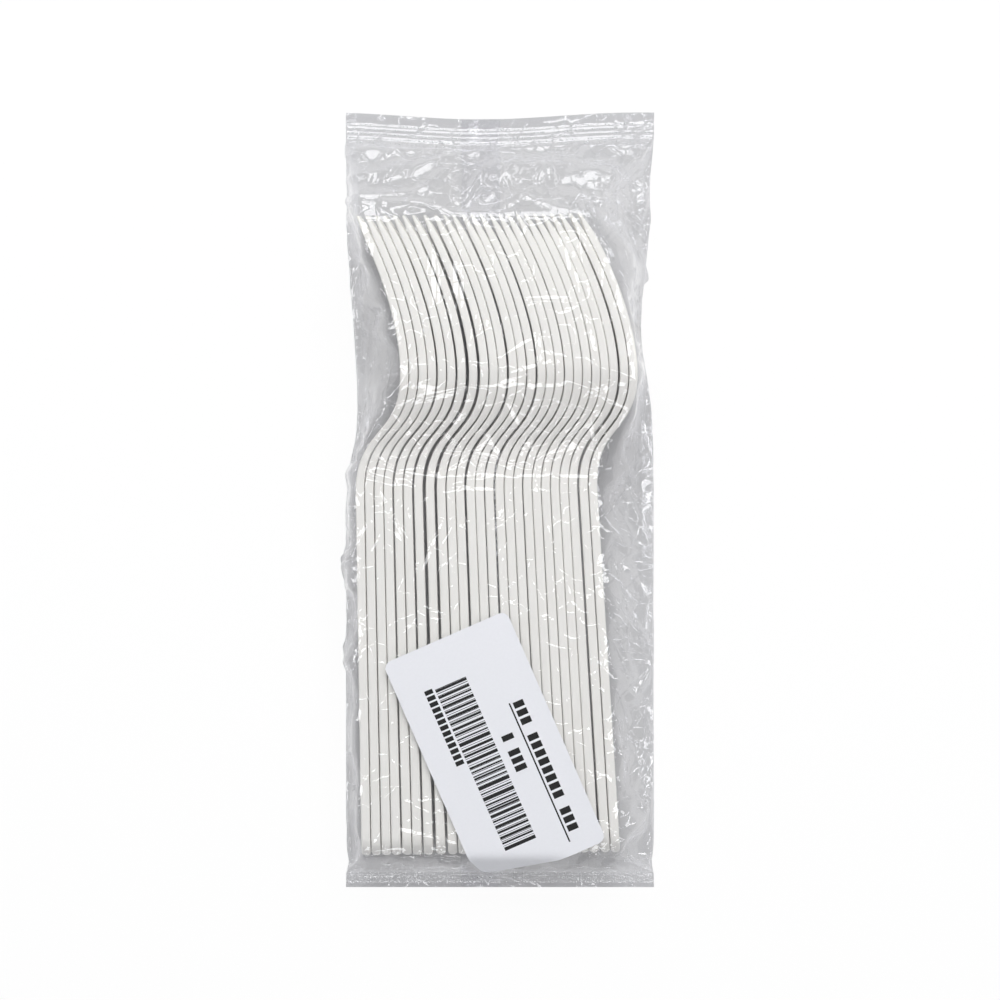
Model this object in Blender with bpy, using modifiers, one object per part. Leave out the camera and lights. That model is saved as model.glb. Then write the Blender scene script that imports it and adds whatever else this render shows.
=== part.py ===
"""A sealed clear film bag with a nested stack of disposable forks, and a price label stuck on its front.

The pack lies on its back on the ground, with the tines towards +Y and the label facing +Z.
The forks stand on their side edges, so the stack grows along X, and a fork's width runs along Z.
Sizes are in metres and angles in degrees.
"""

import math

import bmesh
import bpy
from mathutils import Matrix, Vector
from mathutils.geometry import interpolate_bezier

# Fork, seen from the side. Its own origin is the crest, the deepest point of the bowl.
FORK_COUNT = 25
HANDLE_LENGTH = 0.0935
NECK_LENGTH = 0.0318
HEAD_LENGTH = 0.0397
BOWL_DEPTH = 0.0121
TIP_RETURN = 0.0113
NECK_EASE = 0.018
BOWL_EASE = 0.013
TINE_SLOPE = 27.0
FORK_THICKNESS = 0.0021
TIP_THICKNESS = 0.0007
TIP_TAPER = 0.0065

# Fork, seen from the front.
HANDLE_END_WIDTH = 0.0140
HANDLE_END_ROUND = 0.0050
NECK_WIDTH = 0.0090
HEAD_WIDTH = 0.0260
TIP_SPREAD = 0.0232
FLARE_START = 0.0260
FLARE_END = -0.0010
SHOULDER_SLOPE = 12.0
TINE_COUNT = 4
TINE_ROOT = 0.0065
SLOT_WIDTH = 0.0027
TINE_TIP_WIDTH = 0.0017
CHANNEL_RIM = 0.0022
CHANNEL_DEPTH = 0.0008
CHANNEL_END = 0.0065

# Stack of forks: the heads are pressed together and the handles fan out.
NEST_GAP = 0.00034
LEAN_FIRST = 0.95
LEAN_LAST = 3.6
SLIDE_PER_FORK = 0.00005

# Bag, folded from one sheet of film, with a fin seal down its back and a crimp across each end.
FILM_THICKNESS = 0.00005
PLY_GAP = 0.00010
FORK_CLEARANCE = 0.0003
SIDE_CLEARANCE = 0.0006
LEFT_MARGIN = 0.0027
RIGHT_MARGIN = 0.0045
WAIST_LEFT = 0.0030
WAIST_RIGHT = 0.0034
WAIST_LEFT_ABOVE = 0.050
WAIST_RIGHT_ABOVE = 0.040
WAIST_BELOW = 0.024
WAIST_OFFSET = 0.010
LEFT_FOLD_HEIGHT = 0.0070
RIGHT_FOLD_HEIGHT = 0.0045
FLOOR_INSET = 0.0030
SIDE_BULGE = 0.0007
FOOT_BELOW_CREST = 0.0275
BROW_BELOW_CREST = 0.0040
FIN_WIDTH = 0.0100
FIN_STEP = 0.0020
TOP_ROOM = 0.0195
TOP_CRIMP = 0.0072
TOP_CRIMP_MARGIN = 0.0028
TOP_CRIMP_HEIGHT = 0.0085
TOP_CRIMP_DIP = 0.0018
BOTTOM_ROOM = 0.0037
BOTTOM_CRIMP = 0.0042
BOTTOM_CRIMP_MARGIN = 0.0014
BOTTOM_CRIMP_HEIGHT = 0.0068
RIB_PITCH = 0.0012
RIB_HEIGHT = 0.00018
GUSSET_TUCK = 0.0060
PLEAT_DEPTH = 0.0011

# Label, given by its upper right corner, its turn and its sides.
LABEL_WIDTH = 0.0345
LABEL_LENGTH = 0.0645
LABEL_THICKNESS = 0.0001
LABEL_GAP = 0.0002
LABEL_CORNER = 0.0021
LABEL_TURN = 23.6
LABEL_RIGHT_INSET = 0.0382
LABEL_FROM_HANDLE_END = 0.0640

# Colours in daylight.
FORK_COLOUR = (0.83, 0.82, 0.79)
FILM_COLOUR = (0.86, 0.86, 0.88)
LABEL_COLOUR = (0.90, 0.90, 0.92)

NECK_ROWS = 7
TINE_ROWS = 3
TIP_ROWS = 2
FRONT_COLUMNS = 7
END_SHARES = (0.0, 0.12, 0.34, 0.58, 0.82)
PROFILE_STEPS = 32
ENVELOPE_STEPS = 80
HANDLE_STATIONS = 5
RAMP_STATIONS = 3
HEAD_STATIONS = 4

HANDLE_END_Y = -(HANDLE_LENGTH + NECK_LENGTH)
HANDLE_TAPER_Y = HANDLE_END_Y + HANDLE_END_ROUND
PLY_STEP = FILM_THICKNESS + PLY_GAP
CRIMP_STACK = 5 * PLY_STEP
FRONT_PANEL = 2
BACK_PANELS = (0, 4)


def clamp(value, low=0.0, high=1.0):
    return max(low, min(high, value))


def mix(a, b, share):
    return a + (b - a) * share


def smooth(share):
    share = clamp(share)
    return share * share * (3 - 2 * share)


def along(points, at):
    """The second value of a polyline of pairs, read at a first value. The pairs run from low to high."""
    if at <= points[0][0]:
        return points[0][1]
    for (a, value_a), (b, value_b) in zip(points, points[1:]):
        if at <= b:
            return mix(value_a, value_b, (at - a) / (b - a))
    return points[-1][1]


def side_profile():
    """The fork's middle line seen from the side, as (y, x) pairs from the handle's end to the tips."""
    slope = math.radians(TINE_SLOPE)
    neck = interpolate_bezier(
        Vector((-NECK_LENGTH, -BOWL_DEPTH)),
        Vector((-NECK_LENGTH + NECK_EASE, -BOWL_DEPTH)),
        Vector((-NECK_EASE, 0)),
        Vector((0, 0)),
        PROFILE_STEPS,
    )
    tip = Vector((HEAD_LENGTH, -TIP_RETURN))
    bowl = interpolate_bezier(
        Vector((0, 0)),
        Vector((BOWL_EASE, 0)),
        tip - BOWL_EASE * Vector((math.cos(slope), -math.sin(slope))),
        tip,
        PROFILE_STEPS,
    )
    return [(HANDLE_END_Y, -BOWL_DEPTH), *map(tuple, neck), *map(tuple, bowl[1:])]


PROFILE = side_profile()


def half_width(y):
    """Half the fork's width, seen from the front, at a distance from the crest."""
    from_end = y - HANDLE_END_Y
    if from_end < HANDLE_END_ROUND:
        return HANDLE_END_WIDTH / 2 * math.sqrt(1 - (1 - clamp(from_end / HANDLE_END_ROUND)) ** 2)
    if y < -FLARE_START:
        share = (y - HANDLE_TAPER_Y) / (-FLARE_START - HANDLE_TAPER_Y)
        return mix(HANDLE_END_WIDTH, NECK_WIDTH, share) / 2
    if y < FLARE_END:
        reach = FLARE_START + FLARE_END
        share = (y + FLARE_START) / reach
        edge = reach * math.tan(math.radians(SHOULDER_SLOPE)) * share**2 * (1 - share)
        return mix(NECK_WIDTH, HEAD_WIDTH, smooth(share)) / 2 - edge
    return mix(HEAD_WIDTH, TIP_SPREAD, ((y - FLARE_END) / (HEAD_LENGTH - FLARE_END)) ** 2) / 2


def tine_share(y):
    return clamp((y - TINE_ROOT) / (HEAD_LENGTH - TINE_ROOT))


def half_thickness(y):
    """Half the fork's thickness, measured along the stack, so that nested forks keep one gap all along."""
    taper = clamp((y - HEAD_LENGTH + TIP_TAPER) / TIP_TAPER)
    return mix(FORK_THICKNESS, TIP_THICKNESS, taper**1.5) / 2


def tine_edges(y):
    """The Z of both edges of each tine."""
    width_at_root = (2 * half_width(TINE_ROOT) - (TINE_COUNT - 1) * SLOT_WIDTH) / TINE_COUNT
    width = mix(width_at_root, TINE_TIP_WIDTH, tine_share(y) ** 1.3)
    spacing = (2 * half_width(y) - width) / (TINE_COUNT - 1)
    centres = [(k - (TINE_COUNT - 1) / 2) * spacing for k in range(TINE_COUNT)]
    return [(centre - width / 2, centre + width / 2) for centre in centres]


def body_rows():
    """The Y of each row across the handle, neck and head, up to just below the tines."""
    end = [HANDLE_END_Y + HANDLE_END_ROUND * share for share in (0.03, 0.25, 1.0)]
    channel_start = HANDLE_END_Y + CHANNEL_END
    handle = [mix(channel_start, -NECK_LENGTH, share) for share in (0.0, 0.35, 0.7, 1.0)]
    neck = [mix(-NECK_LENGTH, FLARE_END, (k + 1) / NECK_ROWS) for k in range(NECK_ROWS)]
    return [*end, *handle, *neck, mix(FLARE_END, TINE_ROOT, 0.5)]


def tine_rows():
    """The Y of each row across the tines, from above their roots to their tips."""
    taper_start = HEAD_LENGTH - TIP_TAPER
    tines = [mix(TINE_ROOT, taper_start, (k + 1) / TINE_ROWS) for k in range(TINE_ROWS)]
    return tines + [mix(taper_start, HEAD_LENGTH, (k + 1) / TIP_ROWS) for k in range(TIP_ROWS)]


def flat_fork():
    """The fork's pattern as one open sheet in the YZ plane. Returns it with its channel's rows."""
    bm = bmesh.new()
    previous = None
    for y in body_rows():
        width = half_width(y)
        row = [bm.verts.new((0, y, z)) for z in (-width, width)]
        if previous:
            bm.faces.new((previous[0], previous[1], row[1], row[0]))
        previous = row
    edges = tine_edges(TINE_ROOT)
    roots = [[bm.verts.new((0, TINE_ROOT, z)) for z in pair] for pair in edges]
    across = [*roots[0]]
    for (_, low), (high, _), tine in zip(edges, edges[1:], roots[1:]):
        across += [bm.verts.new((0, TINE_ROOT - SLOT_WIDTH / 2, (low + high) / 2)), *tine]
    bm.faces.new((previous[0], previous[1], *reversed(across)))
    for tine, (low, high) in enumerate(roots):
        for y in tine_rows():
            next_low, next_high = [bm.verts.new((0, y, z)) for z in tine_edges(y)[tine]]
            bm.faces.new((low, high, next_high, next_low))
            low, high = next_low, next_high
    return bm


def thicken(bm):
    """Makes the flat sheet a plate, whose back looks towards +X."""
    sheet = list(bm.faces)
    made = bmesh.ops.extrude_face_region(bm, geom=sheet)["geom"]
    raised = [item for item in made if isinstance(item, bmesh.types.BMVert)]
    for vertex in bm.verts:
        vertex.co.x = -half_thickness(vertex.co.y)
    for vertex in raised:
        vertex.co.x = half_thickness(vertex.co.y)
    bmesh.ops.recalc_face_normals(bm, faces=bm.faces)


def sink_channel(bm):
    """Sinks the long channel in the back of the handle, which leaves its rim at full thickness."""
    bm.faces.ensure_lookup_table()
    low, high = HANDLE_END_Y + CHANNEL_END, -NECK_LENGTH
    floor = [f for f in bm.faces if f.normal.x > 0.5 and low < f.calc_center_median().y < high]
    bmesh.ops.inset_region(bm, faces=floor, thickness=CHANNEL_RIM, use_even_offset=True)
    for vertex in {vertex for face in floor for vertex in face.verts}:
        vertex.co.x -= CHANNEL_DEPTH


def bend(bm):
    """Bends the plate along its side profile."""
    for vertex in bm.verts:
        vertex.co.x += along(PROFILE, vertex.co.y)


def fork_mesh():
    bm = flat_fork()
    thicken(bm)
    sink_channel(bm)
    bend(bm)
    mesh = bpy.data.meshes.new("fork")
    bm.to_mesh(mesh)
    bm.free()
    return mesh


def rest_tilt():
    """The stack leans on the heads' sides and on the handles' ends, which are narrower."""
    return math.atan((HEAD_WIDTH - HANDLE_END_WIDTH) / 2 / (FLARE_END - HANDLE_TAPER_Y))


def fork_place(index):
    """A fork's place in the stack: its crest in line with the others, leaning more towards the last."""
    share = index / max(1, FORK_COUNT - 1)
    crest = (index * (FORK_THICKNESS + NEST_GAP), index * SLIDE_PER_FORK, 0)
    return Matrix.Translation(crest) @ Matrix.Rotation(math.radians(mix(LEAN_FIRST, LEAN_LAST, share)), 4, "Z")


def stack_height():
    """The crest's height, with the lowest edge of the forks just above the film on the ground."""
    tilt = rest_tilt()
    ys = [mix(HANDLE_END_Y, HEAD_LENGTH, k / ENVELOPE_STEPS) for k in range(ENVELOPE_STEPS + 1)]
    reach = max(half_width(y) * math.cos(tilt) - y * math.sin(tilt) for y in ys)
    return reach + FILM_THICKNESS + 2 * PLY_STEP + FORK_CLEARANCE


def outline(place, index):
    """A fork's outline in the world: (y, left, right, top) at steps along its length."""
    whole = place @ fork_place(index)
    found = []
    for k in range(ENVELOPE_STEPS + 1):
        y = mix(HANDLE_END_Y, HEAD_LENGTH, k / ENVELOPE_STEPS)
        x, half = along(PROFILE, y), half_thickness(y)
        left = whole @ Vector((x - half, y, half_width(y)))
        right = whole @ Vector((x + half, y, half_width(y)))
        found.append((left.y, left.x, right.x, max(left.z, right.z)))
    return found


def stack_place():
    """The stack's place, so that the bag's left and right edges and its two ends lie evenly about the origin."""
    trial = Matrix.Rotation(rest_tilt(), 4, "X")
    first, last = outline(trial, 0), outline(trial, FORK_COUNT - 1)
    left = min(row[1] for row in first) - LEFT_MARGIN
    right = max(row[2] for row in last) + RIGHT_MARGIN
    ends = [row[0] for row in first + last]
    top = max(ends) + FORK_CLEARANCE + TOP_ROOM + TOP_CRIMP
    bottom = min(ends) - FORK_CLEARANCE - BOTTOM_ROOM - BOTTOM_CRIMP
    offset = Vector((-(left + right) / 2, -(top + bottom) / 2, stack_height()))
    return Matrix.Translation(offset) @ trial, (right - left) / 2, (top - bottom) / 2


STACK_PLACE, BAG_HALF_WIDTH, BAG_HALF_LENGTH = stack_place()
FIRST_FORK = outline(STACK_PLACE, 0)
LAST_FORK = outline(STACK_PLACE, FORK_COUNT - 1)
CREST_Y = STACK_PLACE.translation.y
TIPS_Y = max(row[0] for row in FIRST_FORK + LAST_FORK) + FORK_CLEARANCE
HANDLES_Y = min(row[0] for row in FIRST_FORK + LAST_FORK) - FORK_CLEARANCE
SHOULDER_Y = CREST_Y + FLARE_END
BROW_Y = CREST_Y - BROW_BELOW_CREST
FOOT_Y = CREST_Y - FOOT_BELOW_CREST


def near(rows, y, reach=0.006):
    return [row for row in rows if abs(row[0] - y) <= reach] or [min(rows, key=lambda row: abs(row[0] - y))]


def stack_left(y):
    return min(row[1] for row in near(FIRST_FORK, y))


def stack_right(y):
    return max(row[2] for row in near(LAST_FORK, y))


def front_line():
    """The film's front, seen from the side, pulled taut over the forks: (y, z) pairs from low to high."""
    forks = FIRST_FORK + LAST_FORK
    keys = [HANDLES_Y, FOOT_Y, BROW_Y, SHOULDER_Y, TIPS_Y]
    line = [(y, max(row[3] for row in near(forks, y))) for y in keys]
    shortfall = max(row[3] - along(line, row[0]) for row in forks)
    lift = shortfall + FORK_CLEARANCE + FILM_THICKNESS / 2
    return [(y, z + lift) for y, z in line]


FRONT = front_line()


def waist(y, centre, above):
    """How much of the bag's waist is drawn in here, from 0 to 1. It fades slowly above and fast below."""
    return smooth(1 - (y - centre) / above if y > centre else 1 - (centre - y) / WAIST_BELOW)


def film_left(y):
    edge = -BAG_HALF_WIDTH + WAIST_LEFT * waist(y, CREST_Y - WAIST_OFFSET, WAIST_LEFT_ABOVE)
    return min(edge, stack_left(y) - SIDE_CLEARANCE)


def film_right(y):
    edge = BAG_HALF_WIDTH - WAIST_RIGHT * waist(y, CREST_Y + WAIST_OFFSET, WAIST_RIGHT_ABOVE)
    return max(edge, stack_right(y) + SIDE_CLEARANCE)


def side_points(edge, fold_height, corner, floor, outward):
    """The film down one side, from under the front's corner to above the ground: (x, z) pairs."""
    fold = Vector((edge, fold_height))
    high = (corner + fold) / 2 + Vector((outward * SIDE_BULGE, SIDE_BULGE))
    low = (floor + fold) / 2 + Vector((outward * SIDE_BULGE / 2, -SIDE_BULGE / 2))
    return [high, fold, low]


def fin_seal(left_edge, levels):
    """The back's left half, from the free edge of the fin seal to the left side: (x, z) points.

    The seal's two plies lie folded to the left on the lowest levels, and the film passes over them.
    """
    beyond = -FIN_WIDTH - FIN_STEP
    points = [(-FIN_WIDTH, levels[1]), (0, levels[1]), (0, levels[2])]
    points += [(-FIN_WIDTH - PLY_STEP, levels[2]), (beyond, levels[0]), (left_edge, levels[0])]
    return [Vector(point) for point in points]


def body_section(y):
    """The film's section where it goes round the forks, as five panels of (x, z) points."""
    levels = [FILM_THICKNESS / 2 + k * PLY_STEP for k in range(3)]
    front = along(FRONT, y)
    left, right = film_left(y), film_right(y)
    corner_left = Vector((stack_left(y) - FORK_CLEARANCE, front))
    corner_right = Vector((stack_right(y) + FORK_CLEARANCE, front))
    floor_left = Vector((min(left + FLOOR_INSET, corner_left.x), levels[0]))
    floor_right = Vector((max(right - FLOOR_INSET, corner_right.x), levels[0]))
    return [
        fin_seal(floor_left.x, levels),
        side_points(left, LEFT_FOLD_HEIGHT, corner_left, floor_left, -1)[::-1],
        [corner_left.lerp(corner_right, k / (FRONT_COLUMNS - 1)) for k in range(FRONT_COLUMNS)],
        side_points(right, RIGHT_FOLD_HEIGHT, corner_right, floor_right, 1),
        [floor_right, Vector((-FIN_WIDTH, levels[0]))],
    ]


def crimp_section(height):
    """The film's section in a crimp, in the same five panels: all of its plies pressed flat, with tucked sides."""
    levels = [height + k * PLY_STEP for k in range(6)]
    bottom, top, edge = levels[0], levels[-1], BAG_HALF_WIDTH
    tucked = [Vector((edge, top)), Vector((edge - GUSSET_TUCK, (bottom + top) / 2)), Vector((edge, bottom))]
    inner = edge - FLOOR_INSET
    return [
        fin_seal(-inner, levels),
        [Vector((-point.x, point.y)) for point in reversed(tucked)],
        [Vector((mix(-inner, inner, k / (FRONT_COLUMNS - 1)), top)) for k in range(FRONT_COLUMNS)],
        tucked,
        [Vector((inner, bottom)), Vector((-FIN_WIDTH, bottom))],
    ]


def end_section(body, crimp, share, pleat=0.0):
    """The film between the forks and a crimp. The back leaves the ground late, and the front may fall in pleats."""
    panels = []
    for panel, (nearer, further) in enumerate(zip(body, crimp)):
        height = share**2 if panel in BACK_PANELS else share
        points = [Vector((mix(a.x, b.x, share), mix(a.y, b.y, height))) for a, b in zip(nearer, further)]
        if panel == FRONT_PANEL:
            for k, point in enumerate(points[1:-1]):
                point.y += pleat * 4 * share * (1 - share) * (-1) ** k
        panels.append(points)
    return panels


def crimp_rows(depth, margin):
    """(distance from the bag's end, rib height) of each row of a crimp, from its outer edge inwards."""
    ribs = max(1, math.floor((depth - margin) / RIB_PITCH))
    rows = [(0.0, 0.0)]
    for k in range(2 * ribs + 1):
        rows.append((margin + k * RIB_PITCH / 2, RIB_HEIGHT * (k % 2)))
    return rows


def crimp_dip(x):
    """How far the top crimp's middle is drawn down, where the fin seal on the back gathers it."""
    return TOP_CRIMP_DIP * smooth(1 - abs(x + FIN_WIDTH / 2) / BAG_HALF_WIDTH)


def film_sections():
    """Every row of the film from the bottom crimp to the top one, as points in the world."""
    rows = []
    bottom, top = -BAG_HALF_LENGTH, BAG_HALF_LENGTH
    low_crimp, high_crimp = crimp_section(BOTTOM_CRIMP_HEIGHT), crimp_section(TOP_CRIMP_HEIGHT)
    for distance, rib in crimp_rows(BOTTOM_CRIMP, BOTTOM_CRIMP_MARGIN):
        rows.append((bottom + distance, rib, 0.0, low_crimp))
    for share in END_SHARES[::-1]:
        y = mix(HANDLES_Y, bottom + BOTTOM_CRIMP, share)
        rows.append((y, 0.0, 0.0, end_section(body_section(HANDLES_Y), low_crimp, share)))
    rows += [(y, 0.0, 0.0, body_section(y)) for y in body_stations()]
    for share in END_SHARES:
        y = mix(TIPS_Y, top - TOP_CRIMP, share)
        rows.append((y, 0.0, share, end_section(body_section(TIPS_Y), high_crimp, share, PLEAT_DEPTH)))
    for distance, rib in reversed(crimp_rows(TOP_CRIMP, TOP_CRIMP_MARGIN)):
        rows.append((top - distance, rib, 1.0, high_crimp))
    return [
        [Vector((point.x, y - dip * crimp_dip(point.x), point.y + rib)) for panel in panels for point in panel]
        for y, rib, dip, panels in rows
    ]


def body_stations():
    """The Y of each row of film over the forks, with rows on the fold lines of its front."""
    handle = [mix(HANDLES_Y, FOOT_Y, (k + 1) / HANDLE_STATIONS) for k in range(HANDLE_STATIONS)]
    ramp = [mix(FOOT_Y, BROW_Y, (k + 1) / RAMP_STATIONS) for k in range(RAMP_STATIONS)]
    heads = [mix(SHOULDER_Y, TIPS_Y, k / HEAD_STATIONS) for k in range(HEAD_STATIONS)]
    return handle + ramp + heads


def film_bag():
    """The bag, one sheet of film laid through its sections and given its thickness."""
    bm = bmesh.new()
    rows = [[bm.verts.new(point) for point in section] for section in film_sections()]
    for low, high in zip(rows, rows[1:]):
        for k in range(len(low) - 1):
            bm.faces.new((low[k], high[k], high[k + 1], low[k + 1]))
    mesh = bpy.data.meshes.new("film_bag")
    bm.to_mesh(mesh)
    bm.free()
    bag = bpy.data.objects.new("film_bag", mesh)
    wall = bag.modifiers.new("film", "SOLIDIFY")
    wall.thickness = FILM_THICKNESS
    wall.offset = 0
    return bag


def lifted(points, height):
    """A polyline of (y, z) points that runs towards -Y, moved up off the film by a height."""
    sides = [(b - a).normalized() for a, b in zip(points, points[1:])]
    moved = []
    for k, point in enumerate(points):
        ups = [Vector((side.y, -side.x)) for side in sides[max(k - 1, 0) : k + 1]]
        outward = sum(ups, Vector((0, 0))).normalized()
        moved.append(point + height / outward.dot(ups[0]) * outward)
    return moved


def label_path():
    """The label's path over the front, down past the handles and on to the crimp: (distance, y, z), from the top."""
    crimp = BOTTOM_CRIMP_HEIGHT + CRIMP_STACK + RIB_HEIGHT
    film = [(y, along(FRONT, y)) for y in (FOOT_Y, HANDLES_Y)]
    film += [(-BAG_HALF_LENGTH + BOTTOM_CRIMP, crimp), (-BAG_HALF_LENGTH, crimp)]
    points = lifted([Vector(point) for point in film], FILM_THICKNESS / 2 + LABEL_GAP + LABEL_THICKNESS / 2)
    path, distance = [], 0.0
    for k, point in enumerate(points):
        distance += (point - points[max(k - 1, 0)]).length
        path.append((distance, *point))
    return path


def label():
    """The price label, a rounded paper rectangle that lies on the film and droops over the handles' ends."""
    path = label_path()
    bm = bmesh.new()
    bmesh.ops.create_grid(bm, x_segments=1, y_segments=1, size=0.5)
    size = Vector((LABEL_WIDTH, LABEL_LENGTH, 1))
    bmesh.ops.scale(bm, vec=size, verts=bm.verts)
    bmesh.ops.bevel(
        bm, geom=list(bm.verts), offset=LABEL_CORNER, offset_type="OFFSET", segments=4, profile=0.5, affect="VERTICES"
    )
    turn = Matrix.Rotation(math.radians(LABEL_TURN), 4, "Z")
    corner = turn @ Vector((LABEL_WIDTH / 2, LABEL_LENGTH / 2, 0))
    handles = path[1]
    right = BAG_HALF_WIDTH - LABEL_RIGHT_INSET
    place = Vector((right, handles[1] + LABEL_FROM_HANDLE_END, 0)) - corner
    bmesh.ops.transform(bm, matrix=Matrix.Translation(place) @ turn, verts=bm.verts)
    for distance, _, _ in path[1:3]:
        fold = (0, handles[1] + handles[0] - distance, 0)
        bmesh.ops.bisect_plane(bm, geom=[*bm.verts, *bm.edges, *bm.faces], plane_co=fold, plane_no=(0, 1, 0))
    heights = [(distance, z) for distance, _, z in path]
    places = [(distance, y) for distance, y, _ in path]
    for vertex in bm.verts:
        distance = handles[0] + handles[1] - vertex.co.y
        vertex.co.z = along(heights, distance)
        vertex.co.y = along(places, distance)
    bmesh.ops.recalc_face_normals(bm, faces=bm.faces)
    mesh = bpy.data.meshes.new("label")
    bm.to_mesh(mesh)
    bm.free()
    made = bpy.data.objects.new("label", mesh)
    paper = made.modifiers.new("paper", "SOLIDIFY")
    paper.thickness = LABEL_THICKNESS
    paper.offset = 0
    return made


def material(name, colour, roughness, alpha=1.0):
    made = bpy.data.materials.new(name)
    made.use_nodes = True
    shader = made.node_tree.nodes["Principled BSDF"]
    shader.inputs["Base Color"].default_value = (*colour, 1)
    shader.inputs["Roughness"].default_value = roughness
    shader.inputs["Metallic"].default_value = 0.0
    shader.inputs["Alpha"].default_value = alpha
    return made


def main():
    for old in list(bpy.data.objects):
        bpy.data.objects.remove(old)
    pack = bpy.data.collections.new("fork_pack")
    bpy.context.scene.collection.children.link(pack)

    plastic = material("fork_plastic", FORK_COLOUR, 0.45)
    stack = bpy.data.objects.new("fork_stack", None)
    stack.matrix_world = STACK_PLACE
    pack.objects.link(stack)
    mesh = fork_mesh()
    mesh.materials.append(plastic)
    for index in range(FORK_COUNT):
        fork = bpy.data.objects.new(f"fork_{index + 1:02d}", mesh)
        fork.parent = stack
        fork.matrix_local = fork_place(index)
        pack.objects.link(fork)

    bag = film_bag()
    bag.data.materials.append(material("clear_film", FILM_COLOUR, 0.08, alpha=0.25))
    pack.objects.link(bag)
    price_label = label()
    price_label.data.materials.append(material("label_paper", LABEL_COLOUR, 0.5))
    pack.objects.link(price_label)
    for shape in {item.data for item in pack.objects if item.type == "MESH"}:
        shape.shade_smooth()
        shape.set_sharp_from_angle(angle=math.radians(30))


main()
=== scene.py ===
"""Looks for a clear film bag of nested disposable forks with a price label, seen from above.

Lengths are in metres, in the CAD model's frame: +Y towards the tines, +Z up. MM turns
millimetres to metres.
"""

import math
import random

import bmesh
import bpy
import numpy as np
from mathutils import Matrix, Vector
from mathutils.bvhtree import BVHTree
from mathutils.geometry import delaunay_2d_cdt, interpolate_bezier


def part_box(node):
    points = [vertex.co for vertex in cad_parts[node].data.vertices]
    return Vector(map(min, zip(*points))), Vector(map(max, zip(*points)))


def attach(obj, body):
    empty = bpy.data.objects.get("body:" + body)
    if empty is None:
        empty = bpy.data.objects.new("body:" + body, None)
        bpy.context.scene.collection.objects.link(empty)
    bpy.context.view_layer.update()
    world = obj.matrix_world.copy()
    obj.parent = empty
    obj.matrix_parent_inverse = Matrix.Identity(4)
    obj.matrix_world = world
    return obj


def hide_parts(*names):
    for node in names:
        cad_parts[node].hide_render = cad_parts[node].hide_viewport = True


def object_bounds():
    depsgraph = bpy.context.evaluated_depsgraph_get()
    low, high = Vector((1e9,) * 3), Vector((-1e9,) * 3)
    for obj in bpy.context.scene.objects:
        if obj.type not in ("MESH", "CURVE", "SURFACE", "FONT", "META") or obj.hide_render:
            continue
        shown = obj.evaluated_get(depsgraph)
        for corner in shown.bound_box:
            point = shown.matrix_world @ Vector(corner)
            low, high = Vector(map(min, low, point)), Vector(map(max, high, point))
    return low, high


MM = 0.001

# The photograph's side in pixels, and how many of them make a millimetre. The camera's
# height, the height that it frames exactly, and its sensor's width in millimetres.
PHOTO_SIDE = 1000
PIXELS_PER_MM = 3.89
CAMERA_HEIGHT = 1.5
FOCUS_HEIGHT = 0.015
SENSOR_WIDTH = 36

# Fork, as its solid has it. Y is counted from its crest, and X along the stack.
HANDLE_LENGTH = 93.5 * MM
NECK_LENGTH = 31.8 * MM
HEAD_LENGTH = 39.7 * MM
HANDLE_END_Y = -(HANDLE_LENGTH + NECK_LENGTH)
BOWL_DEPTH = 12.1 * MM
TIP_RETURN = 11.3 * MM
NECK_EASE = 18 * MM
BOWL_EASE = 13 * MM
TINE_SLOPE = math.radians(27)
HANDLE_END_WIDTH = 14 * MM
HANDLE_END_ROUND = 5 * MM
NECK_WIDTH = 9 * MM
HEAD_WIDTH = 26 * MM
TIP_SPREAD = 23.2 * MM
FLARE_START = 26 * MM
FLARE_END = -1 * MM
SHOULDER_SLOPE = math.radians(12)
TINE_COUNT = 4
TINE_ROOT = 6.5 * MM
TINE_TIP_WIDTH = 1.7 * MM
TINE_TAPER = 1.3
SLOT_WIDTH = 2.7 * MM
LEAN_FIRST = math.radians(0.95)
LEAN_LAST = math.radians(3.6)

# Fork's thickness at its head, and how it changes: it grows down the handle by this much for
# each metre, dips at the neck, thins to its tips, and rounds off at the handle's end.
THICKNESS = 2.15 * MM
HANDLE_SWELL = 0.0019
NECK_DIP = 0.22 * MM
NECK_DIP_AT = -17 * MM
NECK_DIP_REACH = 12 * MM
TIP_THICKNESS = 0.6 * MM
TIP_TAPER = 6.5 * MM
TIP_CURVE = 1.5
END_THINNING = 0.98
EDGE_ROUND = 0.42 * MM

# Fork's mesh: how finely its profile, its outline and its rows are cut.
PROFILE_STEPS = 64
OUTLINE_STEP = 3 * MM
END_ANGLES = np.linspace(0.2, math.pi / 2, 8)
TINE_ROWS = 9
ROOT_ANGLES = np.linspace(0, math.pi, 7)[1:-1]
ROW_STEP = 1.6 * MM
END_ROWS = (0.05, 0.2, 0.45, 0.75)
FORK_SHARP = math.radians(60)

# Gaps between neighbouring heads, from the first fork to the last, in millimetres.
GAPS = (
    *(0.19, 0.24, 0.21, 0.45, 0.24, 0.48, 0.80, 0.65, 0.26, 0.15, 0.52, 0.12),
    *(0.24, 0.44, 0.15, 0.15, 0.24, 0.12, 0.16, 0.16, 0.11, 0.10, 0.51, 0.23),
)

# Film: its flat cut, and how finely its grid is cut along the bag and round it.
FILM_STEP = 0.5 * MM
CRIMP_STEP = 0.15 * MM
WALL_COLUMNS = 24
FRONT_COLUMNS = 134
BACK_STEPS = 4
SEAL_COLUMNS = 4
FILM_BLUR = 3.0

# Film's form: how its walls sag, and how its back turns in and folds over as a fin seal.
WALL_SAG = 2.2
FRONT_BAND = 2.4 * MM
FILM_LIFT = 0.06 * MM
BACK_LIFT = 0.03 * MM
BACK_FOLD = 3 * MM
FIN_WIDTH = 10 * MM
SEAL_PLY = 0.12 * MM

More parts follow.
